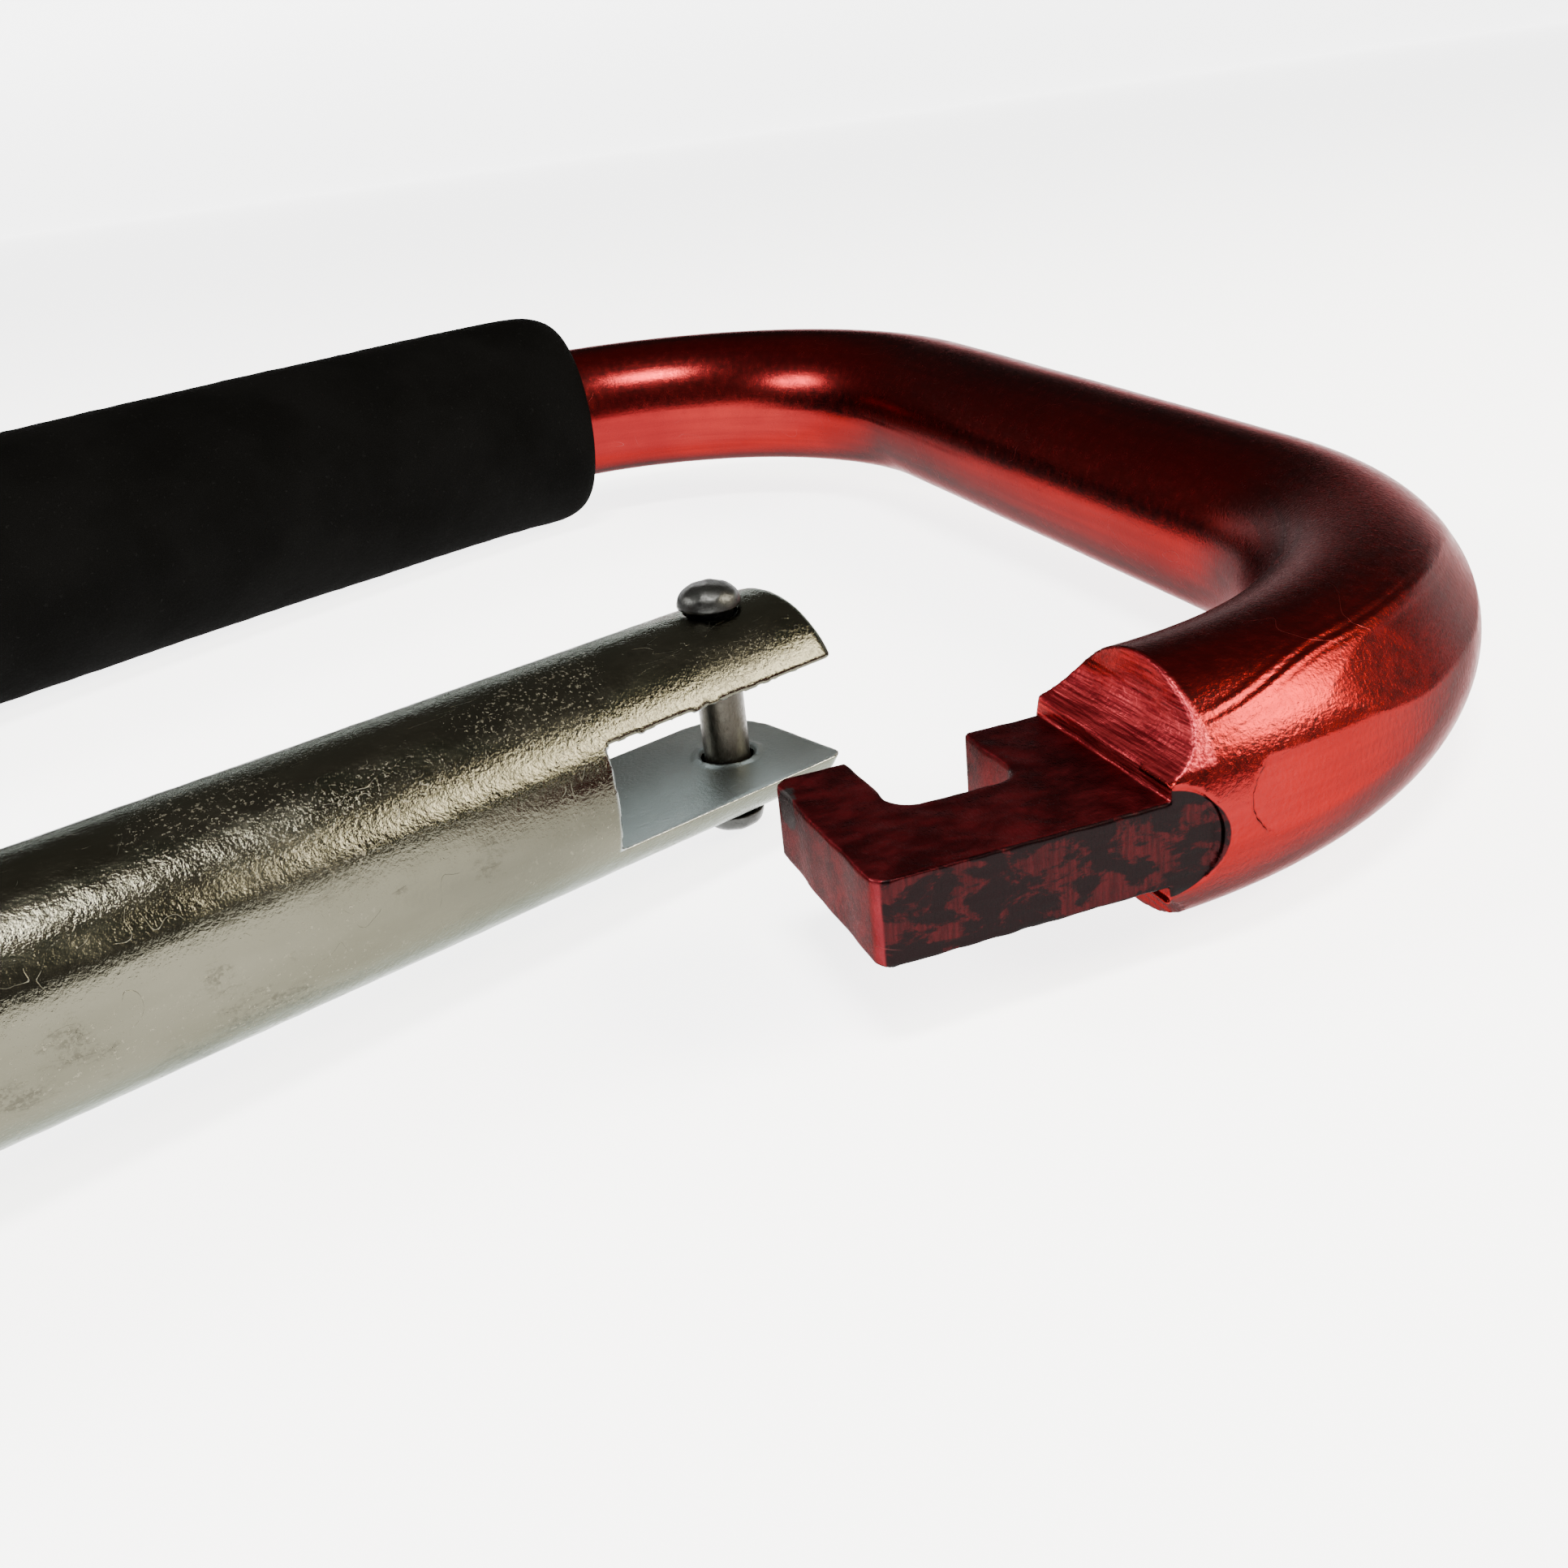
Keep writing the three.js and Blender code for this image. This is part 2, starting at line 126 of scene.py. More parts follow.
def basis(along, up, origin):
    """A matrix from local millimetres to metres in the row's frame."""
    across = up.cross(along).normalized()
    turn = Matrix((along, across, up)).transposed().to_4x4()
    return Matrix.Translation(origin) @ turn @ Matrix.Scale(MM, 4)


def local_frames():
    """The carabiner's frame and the gate's, both about the hinge."""
    up = Vector(hinge["axis"]).normalized()
    along_gate = Vector(slide["axis"]).normalized()
    along_gate = (along_gate - up * along_gate.dot(up)).normalized()
    along = Matrix.Rotation(-AJAR, 3, up) @ along_gate
    pivot = Vector(hinge["pos_m"])
    return basis(along, up, pivot), basis(along_gate, up, pivot)


def notch_place():
    """The notch in the carabiner's frame, set so that the closed gate's rivet lies in it."""
    c, s = math.cos(math.radians(NOSE_SPLAY)), math.sin(math.radians(NOSE_SPLAY))
    x, y = RIVET_IN_NOTCH
    return Vector((GATE_REACH - x * c - y * s, x * s - y * c, 0))


CARABINER, GATE = local_frames()
NOSE_IN_CARABINER = Matrix.Translation(notch_place()) @ Matrix.Rotation(-math.radians(NOSE_SPLAY), 4, "Z")
NOSE = CARABINER @ NOSE_IN_CARABINER
NOSE_TURN = NOSE.to_3x3().normalized()
PLUNGER_FACE = CAM_REACH + CAM_RISE * AJAR + PLUNGER_GAP
COIL = (PLUNGER_FACE + PLUNGER_LENGTH + COIL_GAP, BORE_END - COIL_GAP)


# ---------------------------------------------------------------- the rod's centreline
class RodLine:
    """Straight runs and left-hand bends in the carabiner's plane, followed by length from the notch."""

    def __init__(self):
        start = notch_place()
        self.runs = [(0.0, start.x, start.y, -math.radians(NOSE_SPLAY), NOSE_RUN, math.inf)]
        self.bend(*NOSE_BEND)
        self.run(END_RUN)
        self.bend(*FAR_BEND)
        self.bend(*EASE_BEND)
        self.spine_at = self.tail()[0]
        self.bend(*SPINE_BEND)
        _, x, _, heading = self.tail()
        across = HEEL_FAR_R * (math.sin(math.radians(HEEL_HEADING)) - math.sin(heading))
        self.run((-HEEL_BACK - across - x) / math.cos(heading))
        self.bend(HEEL_FAR_R, HEEL_HEADING - math.degrees(heading))
        self.run(self.tail()[2] - HEEL_NEAR_R)
        self.bend(HEEL_NEAR_R, 360 - HEEL_HEADING)
        self.run(HEEL_BACK - HEEL_NEAR_R - TONGUE_SHOULDER)
        self.length = self.tail()[0]

    def tail(self):
        at, x, y, heading, length, radius = self.runs[-1]
        px, py, ph = follow(x, y, heading, radius, length)
        return at + length, float(px), float(py), float(ph)

    def run(self, length):
        self.runs.append((*self.tail(), length, math.inf))

    def bend(self, radius, turn):
        self.runs.append((*self.tail(), radius * math.radians(turn), radius))

    def place(self, s):
        """x, y and heading at each length s, as arrays."""
        s = np.atleast_1d(np.asarray(s, float))
        out = np.zeros((3, *s.shape))
        for at, x, y, heading, _, radius in self.runs:
            later = s >= at - 1e-9
            px, py, ph = follow(x, y, heading, radius, s - at)
            for row, value in zip(out, (px, py, ph)):
                row[later] = value[later]
        return out


def follow(x, y, heading, radius, s):
    """x, y and heading after a length s of a run or bend from a start."""
    s = np.asarray(s, float)
    if math.isinf(radius):
        return x + s * math.cos(heading), y + s * math.sin(heading), heading + 0 * s
    turned = heading + s / radius
    dx, dy = np.sin(turned) - math.sin(heading), np.cos(turned) - math.cos(heading)
    return x + radius * dx, y - radius * dy, turned


LINE = RodLine()


# ---------------------------------------------------------------- numbers and fields
def blend01(value, low, high):
    """0 below low, 1 above high, and smooth between."""
    t = np.clip((value - low) / (high - low), 0, 1)
    return t * t * (3 - 2 * t)


def window(value, start, full, fade, end):
    """1 from full to fade, and 0 before start and after end."""
    return blend01(value, start, full) * blend01(-value, -end, -fade)


def ripple(x, y, z, size, seed):
    """Smooth uneven waves between about -1 and 1, whose length is about size."""
    draw = np.random.default_rng(seed)
    total = 0
    for _ in range(5):
        direction = draw.normal(size=3)
        direction *= 2 * math.pi / size * draw.uniform(0.6, 1.5) / np.linalg.norm(direction)
        phase = draw.uniform(0, 6.3)
        total = total + np.sin(direction[0] * x + direction[1] * y + direction[2] * z + phase)
    return total / 3


def meet(a, b, r):
    """What is inside both fields, with the edge between them rounded to radius r."""
    outside = np.hypot(np.maximum(a + r, 0), np.maximum(b + r, 0))
    return np.minimum(np.maximum(a, b), -r) + outside


def join(a, b, r):
    """What is inside either field, with the corner between them filled to radius r."""
    return -meet(-a, -b, r)


def cut(a, b, r):
    """What is inside a and outside b."""
    return meet(a, -b, r)


def arc(x, y, radius, start, end, parts=8):
    """Points on an arc, from start to end degrees."""
    angles = np.radians(np.linspace(start, end, parts + 1))
    return [(x + radius * math.cos(a), y + radius * math.sin(a)) for a in angles]


def outline(points, x, y):
    """Signed distance to a closed outline, less than 0 inside it."""
    points = np.array(points, np.float32)
    nearest, inside = np.full(np.broadcast(x, y).shape, 1e9, np.float32), False
    for (ax, ay), (bx, by) in zip(points, np.roll(points, -1, axis=0)):
        ex, ey, px, py = bx - ax, by - ay, x - ax, y - ay
        t = np.clip((px * ex + py * ey) / max(ex * ex + ey * ey, 1e-12), 0, 1)
        nearest = np.minimum(nearest, (px - t * ex) ** 2 + (py - t * ey) ** 2)
        crosses = ((ay > y) != (by > y)) & (px < ex * py / (ey if abs(ey) > 1e-9 else 1e-9))
        inside = inside ^ crosses
    return np.where(inside, -1, 1) * np.sqrt(nearest)


def flat_face(theta, side, reach):
    """The radius of a flat that is square to side degrees and reach from the rod's middle."""
    return reach / np.cos(np.radians(np.clip(theta - side, -60, 60)))


def die_marks(radius, s, theta):
    """The bending die flattened the outside of the nose bend and left fine lines above the flat."""
    depth = DIE_FLAT_DEPTH * window(s, *DIE_FLAT)
    radius = np.minimum(radius, flat_face(theta, DIE_FLAT_SIDE, ROD_R + 0.02 - depth))
    line = 42 + 15 * blend01(s, 8, 16) - 6 * blend01(s, 22, 30)
    for offset, height in DIE_LINE_HEIGHTS:
        across = (theta - line - offset) / DIE_LINE_WIDTH
        radius = radius + height * window(s, *DIE_LINES) * np.exp(-(across**2))
    return radius


def clamp_facet(radius, s, theta):
    """A clamp left one small facet beside the nose, with a curved edge, which fades out along the bend."""
    depth = FACET_DEPTH - FACET_SLOPE * (s - FACET_START - 0.1)
    edge = FACET_START + 1.1 * ((theta - FACET_SIDE) / 18) ** 2
    beyond = 40 * blend01(edge - s, -0.15, 0.15)
    facet = flat_face(theta, FACET_SIDE, ROD_R - depth + beyond)
    return np.where(s < 24, np.minimum(radius, facet), radius)


def rod_radius(s, theta):
    """The rod's radius at length s. theta is in degrees, from its outer side up over its top."""
    lumps = 0.018 * ripple(s, theta / 9, 0 * s, 11, 3)
    return clamp_facet(die_marks(ROD_R + lumps, s, theta), s, theta)


# ---------------------------------------------------------------- meshes
def surface(field, low, high, pitch):
    """The zero surface of a field, as points and quads."""
    axes = [np.arange(a, b, pitch, dtype=np.float32) for a, b in zip(low, high)]
    x, y, z = axes[0][:, None, None], axes[1][None, :, None], axes[2][None, None, :]
    values = np.broadcast_to(field(x, y, z), tuple(len(axis) for axis in axes)).astype(np.float32)
    grid = openvdb.FloatGrid(background=1.0)
    grid.copyFromArray(np.ascontiguousarray(np.clip(values, -1, 1)))
    points, _, quads = grid.convertToPolygons(isovalue=0.0, adaptivity=0.0)
    return points * pitch + np.array([axis[0] for axis in axes]), quads


def to_bmesh(points, faces):
    """A bmesh of points and faces."""
    data = bpy.data.meshes.new("draft")
    data.from_pydata(points.tolist(), [], faces.tolist())
    work = bmesh.new()
    work.from_mesh(data)
    bpy.data.meshes.remove(data)
    return work


def add_points(work, points):
    """Adds rows of points, joined into a tube, and returns the first and last rows."""
    rows = [[work.verts.new(p) for p in row] for row in points]
    for near, far in zip(rows, rows[1:]):
        for i in range(len(near)):
            j = (i + 1) % len(near)
            work.faces.new((near[i], near[j], far[j], far[i]))
    return rows[0], rows[-1]


def trim(work, point, normal):
    """Removes what is beyond a plane."""
    geometry = work.verts[:] + work.edges[:] + work.faces[:]
    bmesh.ops.bisect_plane(work, geom=geometry, plane_co=point, plane_no=normal, clear_outer=True)


def zip_loops(work, first, second, middle, axis, start):
    """Closes the gap between two loops of verts about one axis, taking both in order of angle."""
    side = axis.cross(start)

    def angle(v):
        reach = v.co - middle
        return math.atan2(reach.dot(side), reach.dot(start)) % (2 * math.pi)

    def following(angles, i):
        """The angle after number i, a full turn at the last one, and endless once the loop is used up."""
        if i + 1 < len(angles):
            return angles[i + 1]
        return 2 * math.pi if i < len(angles) else math.inf

    a, b = sorted(first, key=angle), sorted(second, key=angle)
    a_angles, b_angles = [angle(v) for v in a], [angle(v) for v in b]
    i = j = 0
    while i < len(a) or j < len(b):
        va, vb = a[i % len(a)], b[j % len(b)]
        if following(a_angles, i) <= following(b_angles, j):
            work.faces.new((va, vb, a[(i + 1) % len(a)]))
            i += 1
        else:
            work.faces.new((va, vb, b[(j + 1) % len(b)]))
            j += 1


def absorb(work, other):
    """Adds one bmesh to another."""
    data = bpy.data.meshes.new("part")
    other.to_mesh(data)
    work.from_mesh(data)
    bpy.data.meshes.remove(data)
    other.free()


def finished(name, work, matrix, material, attributes=None):
    """The bmesh as a smooth object in the row's frame, with what attributes makes of its local points."""
    bmesh.ops.recalc_face_normals(work, faces=work.faces[:])
    data = bpy.data.meshes.new(name)
    work.to_mesh(data)
    work.free()
    local = np.empty(len(data.vertices) * 3, np.float32)
    data.vertices.foreach_get("co", local)
    local = local.reshape(-1, 3)
    for key, values in (attributes(local) if attributes else {}).items():
        layer = data.attributes.new(key, "FLOAT_VECTOR", "POINT")
        layer.data.foreach_set("vector", values.astype(np.float32).ravel())
    data.transform(matrix)
    data.shade_smooth()
    data.materials.append(material)
    piece = bpy.data.objects.new(name, data)
    bpy.context.scene.collection.objects.link(piece)
    return piece


# ---------------------------------------------------------------- the red body
def straightened(points):
    """Points about the rod, as length along it, distance outward from its middle, and height."""
    px, py = points[:, 0], points[:, 1]
    nearest = np.full(len(points), np.inf)
    result = np.zeros((len(points), 3))
    for at, x, y, heading, length, radius in LINE.runs:
        dx, dy = px - x, py - y
        if math.isinf(radius):
            s = dx * math.cos(heading) + dy * math.sin(heading)
            outward = dx * math.sin(heading) - dy * math.cos(heading)
        else:
            rx, ry = dx + radius * math.sin(heading), dy - radius * math.cos(heading)
            turned = np.arctan2(rx, -ry) - heading
            s = ((turned + math.pi) % (2 * math.pi) - math.pi) * radius
            outward = np.hypot(rx, ry) - radius
        miss = np.maximum(np.maximum(-s, s - length), 0) + np.abs(outward)
        better = miss < nearest
        nearest[better] = miss[better]
        result[better] = np.stack([at + s, outward, points[:, 2]], axis=1)[better]
    return result


def body_attributes(local):
    """The place that the red and foam materials are drawn by, along and about the rod."""
    return {"rod": straightened(local)}


def nose_plan():
    """The plate's outline from above, with the notch open toward the spine."""
    w, half = PLATE_HALF_W, NOTCH_WIDTH / 2
    corner, floor = NOTCH_CORNER, NOTCH_FLOOR + NOTCH_CORNER
    points = [(SHOULDER + 2, -w), (SHOULDER + 2, w), (half, w)]
    points += arc(half - corner, floor, corner, 0, -90)
    points += arc(-half + corner, floor, corner, -90, -180)
    points += [(-half, w), (-PLATE_TIP + TIP_BEVEL, w), (-PLATE_TIP, w - TIP_BEVEL)]
    return points + arc(-PLATE_TIP + TIP_CORNER, -w + TIP_CORNER, TIP_CORNER, 180, 270)


def nose_rod(x, y, z):
    """The rod from the shoulder into its first bend."""
    turn_x, turn_r = x - NOSE_RUN, NOSE_BEND[0]
    reach = np.hypot(turn_x, turn_r - y)
    bent = turn_x > 0
    s = np.where(bent, NOSE_RUN + turn_r * np.arctan2(turn_x, turn_r - y), x)
    outward = np.where(bent, reach - turn_r, -y)
    theta = np.degrees(np.arctan2(z, outward))
    return np.hypot(outward, z) - rod_radius(s, theta)


def plate_field(x, y, z):
    """The notched plate, its faces dented and its lower one leaning a little."""
    height = z + PLATE_DROP
    dents = 0.018 * ripple(1.6 * x, y, 0.4 * z, 2.2, 11) + 0.008 * ripple(x, 1.4 * y, z, 1.1, 12)
    plan = outline(nose_plan(), x, y) + 0.05 * ripple(x, y, 0 * x, 3.1, 5)
    lean = 0.035 * (y + PLATE_HALF_W) * (height < 0)
    return meet(plan, np.abs(height) - PLATE_T / 2 + dents + lean, 0.16)


def scallop_field(x, y, z, rise):
    """What a round cutter took off the shoulder. rise is the height from the plate's middle."""
    along, up = x - SCALLOP_END, PLATE_T / 2 + STEP - rise
    lines = np.sin(2 * math.pi * (along - up + 0.08 * ripple(y, x, z, 5, 7)) / TOOL_PITCH)
    wobble = 0.05 * ripple(0.3 * x, y, 0.3 * z, 2.4, 8)
    return meet(along, up, SCALLOP_R) + TOOL_DEPTH * lines + wobble


def flat_field(x, y, z):
    """The shallow cut on the nose's outer side, with one rounded end."""
    pill = np.hypot(np.maximum(x - FLAT_END, 0), z + PLATE_DROP) - FLAT_HALF
    grain = 0.02 * ripple(0.5 * x, y, 3 * z, 2.0, 9)
    return meet(y + ROD_R - FLAT_INSET + grain, pill, 0.1)


def burr_field(x, y, z, rise):
    """A ragged bead of metal pushed up along the scallop's front edge."""
    bead = np.hypot(x - SHOULDER + 0.05, rise - PLATE_T / 2 - STEP + 0.05) - 0.13
    return meet(bead, np.abs(y + 4.4) - 1.0 + 0.3 * ripple(x, y, z, 1.1, 10), 0.1)


def nose_field(x, y, z):
    """The plate and the rod behind it, with what was cut from them."""
    rise = np.abs(z + PLATE_DROP)
    shoulder = SHOULDER - x + 0.05 * ripple(y, z, 0 * y, 2.5, 6)
    body = join(plate_field(x, y, z), meet(nose_rod(x, y, z), shoulder, 0.12), 0.1)
    body = cut(body, scallop_field(x, y, z, rise), 0.07)
    body = cut(body, flat_field(x, y, z), 0.1)
    return join(body, burr_field(x, y, z, rise), 0.12)


def tongue_plan():
    """The tongue's outline from above; the cam's face rises evenly with the gate's angle."""
    w = TONGUE_HALF_W
    points = [(-TONGUE_SHOULDER - 2, -w), (CAM_REACH - CAM_BEVEL, -w), (CAM_REACH, -w + CAM_BEVEL)]
    for a in np.radians(np.linspace(0, GATE_SWING, 9)):
        reach, c, s = CAM_REACH + CAM_RISE * a, math.cos(a), math.sin(a)
        points.append((reach * c - CAM_RISE * s, reach * s + CAM_RISE * c))
    return points + [(0, w), (-TONGUE_SHOULDER - 2, w)]


def tongue_field(x, y, z):
    """The rod's end and the tongue milled from it, bored for the hinge rivet."""
    s = LINE.length + x + TONGUE_SHOULDER
    rod = np.hypot(y, z) - rod_radius(s, np.degrees(np.arctan2(z, -y)))
    rod = meet(rod, x + TONGUE_SHOULDER, 0.3)
    faces = np.abs(z) - TONGUE_HALF_T + 0.02 * ripple(x, y, z, 2, 21)
    body = join(rod, meet(outline(tongue_plan(), x, y), faces, 0.15), 0.25)
    return cut(body, np.hypot(x, y) - HINGE_RIVET["shank"] - RUNNING_GAP, 0.12)


def rod_rings(s_values, sides):
    """Rings of points round the rod at each length."""
    theta = np.linspace(-180, 180, sides, endpoint=False)[None, :] + 90 / sides
    x, y, heading = (row[:, None] for row in LINE.place(s_values))
    radius = rod_radius(np.asarray(s_values)[:, None], theta)
    outward, turn = radius * np.cos(np.radians(theta)), np.sin(np.radians(theta))
    return np.stack([x + outward * np.sin(heading), y - outward * np.cos(heading), radius * turn], axis=2)


def join_end(work, end, ring, middle, along):
    """Trims a modelled end at a plane, adds it to the rod's mesh, and closes the gap to the rod's ring."""
    trim(end, middle, along)
    known = len(work.verts)
    absorb(work, end)
    work.verts.ensure_lookup_table()
    added = [work.verts[i] for i in range(known, len(work.verts))]
    on_plane = [v for v in added if abs((v.co - middle).dot(along)) < 2e-4]
    loop = [v for v in on_plane if any(e.is_boundary for e in v.link_edges)]
    zip_loops(work, loop, ring, middle, along, Vector((0, 0, 1)))


def make_body(material):
    first, last = NOSE_CUT + RING_GAP, LINE.length - (TONGUE_CUT - TONGUE_SHOULDER) - RING_GAP
    lengths = np.concatenate([np.arange(first, MARKS_END, 0.6), np.linspace(MARKS_END, last, 240)])
    work = bmesh.new()
    start_ring, end_ring = add_points(work, rod_rings(lengths, 240).tolist())

    nose = to_bmesh(*surface(nose_field, (-7.6, -7, -6.8), (19.5, 12.5, 6.8), 0.12))
    nose.transform(NOSE_IN_CARABINER)
    x, y, heading = (float(v[0]) for v in LINE.place(NOSE_CUT))
    along = Vector((math.cos(heading), math.sin(heading), 0))
    join_end(work, nose, start_ring, Vector((x, y, 0)), along)

    tongue = to_bmesh(*surface(tongue_field, (-14, -7, -6.8), (6, 7, 6.8), 0.15))
    join_end(work, tongue, end_ring, Vector((-TONGUE_CUT, 0, 0)), Vector((-1, 0, 0)))
    return finished("red_body", work, CARABINER, material, body_attributes)


# ---------------------------------------------------------------- the foam sleeve
def foam_profile():
    """Length and radius at points round the sleeve's section, from one end over the outside and back."""
    (ends, depth), steps, fullness = FOAM_END, 14, 0.8
    points = []
    for a in np.radians(np.linspace(90, 0, steps, endpoint=False)):
        drop = depth - depth * math.cos(a) ** fullness
        points.append((ends - ends * math.sin(a) ** fullness, FOAM_R - drop))
    points += [(s, FOAM_R) for s in np.arange(ends, FOAM_LENGTH - ends, 0.7)]
    points += [(FOAM_LENGTH - s, r) for s, r in reversed(points[:steps])]
    points += [(s, FOAM_BORE) for s in np.linspace(FOAM_LENGTH - 0.05, 0.05, 60)]
    return np.array(points)


def make_foam(material):
    profile, sides = foam_profile(), 180
    s = LINE.spine_at - FOAM_LEAD + profile[:, 0]
    theta = np.radians(np.linspace(0, 360, sides, endpoint=False))[None, :]
    x, y, heading = (row[:, None] for row in LINE.place(s))
    outside = (profile[:, 1] > FOAM_BORE + 0.3)[:, None]
    dx, dz = FOAM_R * np.cos(theta), FOAM_R * np.sin(theta)
    waves = 0.05 * ripple(s[:, None], dx, dz, 14, 31) + 0.02 * ripple(s[:, None], dx, dz, 2.2, 32)
    grain = np.random.default_rng(33).normal(0, 0.012, (len(s), sides))
    slack = 0.06                      # keeps the uneven skin within the sleeve's radius
    radius = profile[:, 1][:, None] - outside * (slack + waves * 0.8 + np.abs(grain))
    outward, height = radius * np.cos(theta), radius * np.sin(theta)
    rows = np.stack([x + outward * np.sin(heading), y - outward * np.cos(heading), height], axis=2)
    work = bmesh.new()
    add_points(work, rows.tolist() + rows[:1].tolist())
    bmesh.ops.remove_doubles(work, verts=work.verts[:], dist=1e-5)
    return finished("foam_sleeve", work, CARABINER, material, body_attributes)


# ---------------------------------------------------------------- the gate
def gate_plan():
    """The bar's outline from above: a half round at the hinge, and a swept inner corner at the tip."""
    end, corner, sweep = GATE_REACH + GATE_TIP, GATE_CORNER, GATE_SWEEP
    points = arc(0, 0, GATE_R, 90, 270, 24)
    points += arc(end - corner, -GATE_R + corner, corner, -90, 0)
    return points + arc(end - sweep, GATE_R - sweep, sweep, 0, 90, 16)


def gate_field(x, y, z):
    """The bar, less its slots, the spring's bore and the rivets' holes, with a burr round the latch's."""
    wear = 0.012 * ripple(0.3 * x, y, z, 6, 41) + 0.008 * ripple(x, y, z, 1.5, 42)
    bar = np.hypot(y, z) - GATE_R + 0.01 + wear
    bar = meet(bar, outline(gate_plan(), x, y) + 0.02 * ripple(x, y, 0 * x, 1.7, 43), 0.7)
    ragged = 0.018 * ripple(x, y, z, 0.9, 44) + 0.015 * ripple(x, y, z, 2.5, 45)
    between_cheeks = np.abs(z) - SLOT_HALF
    latch_slot = meet(between_cheeks, GATE_REACH - LATCH_SLOT - x, 0.25)
    bar = cut(bar, latch_slot + ragged * 0.3, 0.1)
    hinge_slot = meet(between_cheeks, x - HINGE_SLOT_ROOT, 0.25)
    bar = cut(bar, hinge_slot + ragged * 0.4, 0.1)
    bar = cut(bar, meet(np.hypot(y, z) - BORE_R, x - BORE_END, 0.2), 0.1)
    from_hole = np.hypot(x - GATE_REACH, y)
    bar = cut(bar, from_hole - LATCH_RIVET["shank"] - RUNNING_GAP + 0.3 * ragged, 0.06)
    bar = cut(bar, np.hypot(x, y) - HINGE_RIVET["shank"] - RUNNING_GAP, 0.06)
    burr = np.hypot(from_hole - LATCH_RIVET["shank"] - 0.42, between_cheeks) - 0.13 - ragged
    return join(bar, burr, 0.08)


def bar_attributes(local):
    """The place that the steel materials are drawn by, in the gate's own millimetres."""
    return {"bar": local}


def make_gate_bar(material):
    clear = GATE_R + 0.45
    low, high = (-clear, -clear, -clear), (GATE_REACH + GATE_TIP + 0.5, clear, clear)
    work = to_bmesh(*surface(gate_field, low, high, 0.17))
    return finished("steel_gate", work, GATE, material, bar_attributes)


# ---------------------------------------------------------------- turned pieces and the spring
def turned(profile, sides=72):
    """A closed mesh about z from heights and radii, its first and last radii 0."""
    work = bmesh.new()
    angles = np.radians(np.linspace(0, 360, sides, endpoint=False))
    rows = [[(r * math.cos(a), r * math.sin(a), z) for a in angles] for z, r in profile[1:-1]]
    first, last = add_points(work, rows)
    for ring, (z, _) in ((first, profile[0]), (last, profile[-1])):
        pole = work.verts.new((0, 0, z))
        for i, v in enumerate(ring):
            work.faces.new((v, ring[(i + 1) % sides], pole))
    return work


def rivet_half(size):
    """From the middle of a shank to the top of its head: a turned rim, a bevel and a low dome."""
    seat, shank, head = GATE_R + RUNNING_GAP, size["shank"], size["head"]
    top = seat + size["height"]
    rim = seat + 0.3
    half = [(0, shank), (seat - 1.2, shank), (seat - 0.03, shank), (seat, shank + 0.04)]
    half += [(seat, head - 0.12), (seat + 0.03, head - 0.04), (seat + 0.1, head - 0.01)]
    half.append((rim - 0.06, head - 0.02))
    for a in np.radians(np.linspace(8, 88, 12)):
        half.append((rim + (top - rim) * math.sin(a), (head - 0.06) * math.cos(a) ** 0.85))
    return half + [(top, 0)]


def make_rivet(name, size, x, seed, material):
    half = rivet_half(size)
    profile = [(-z, r) for z, r in reversed(half)] + half[1:]
    work = turned(profile)
    for v in work.verts:
        wave = ripple(np.array(v.co.x), v.co.y, v.co.z, 1.1, seed)
        outside = abs(v.co.z) > GATE_R + 0.2
        v.co *= 1 - (0.006 + 0.004 * float(wave)) * outside
    return finished(name, work, GATE @ Matrix.Translation((x, 0, 0)), material, bar_attributes)


def make_plunger(material):
    face, seat, r, stem = PLUNGER_FACE, PLUNGER_FACE + PLUNGER_LENGTH, PLUNGER_R, STEM_R
    end = seat + STEM_LENGTH
    profile = [(face, 0), (face, 0.4), (face, r - 0.29), (face + 0.04, r - 0.14), (face + 0.2, r)]
    profile += [(seat - 0.2, r), (seat - 0.05, r - 0.09), (seat, r - 0.24)]
    profile += [(seat, stem + 0.07), (seat + 0.1, stem)]
    profile += [(end - 0.3, stem), (end - 0.1, stem - 0.08), (end, stem - 0.28), (end, 0)]
    turn = Matrix.Rotation(math.radians(90), 4, "Y")
    return finished("spring_pin", turned(profile, 48), GATE @ turn, material, bar_attributes)


def make_spring(material):
    """A coil from the plunger's seat to the bore's end, whose middle turns are a little closer."""
    start, end = COIL
    t = np.linspace(0, 1, COIL_TURNS * 36)[:, None]
    share = t + 0.035 * np.sin(2 * math.pi * t)
    a = 2 * math.pi * COIL_TURNS * t
    b = np.radians(np.linspace(0, 360, 12, endpoint=False))[None, :]
    radius = COIL_R + WIRE_R * np.cos(b)
    x = start + (end - start) * share + WIRE_R * np.sin(b)
    rows = np.stack([x, radius * np.cos(a), radius * np.sin(a)], axis=2)
    work = bmesh.new()
    for ring in add_points(work, rows.tolist()):
        work.faces.new(ring)
    return finished("coil_spring", work, GATE, material, bar_attributes)


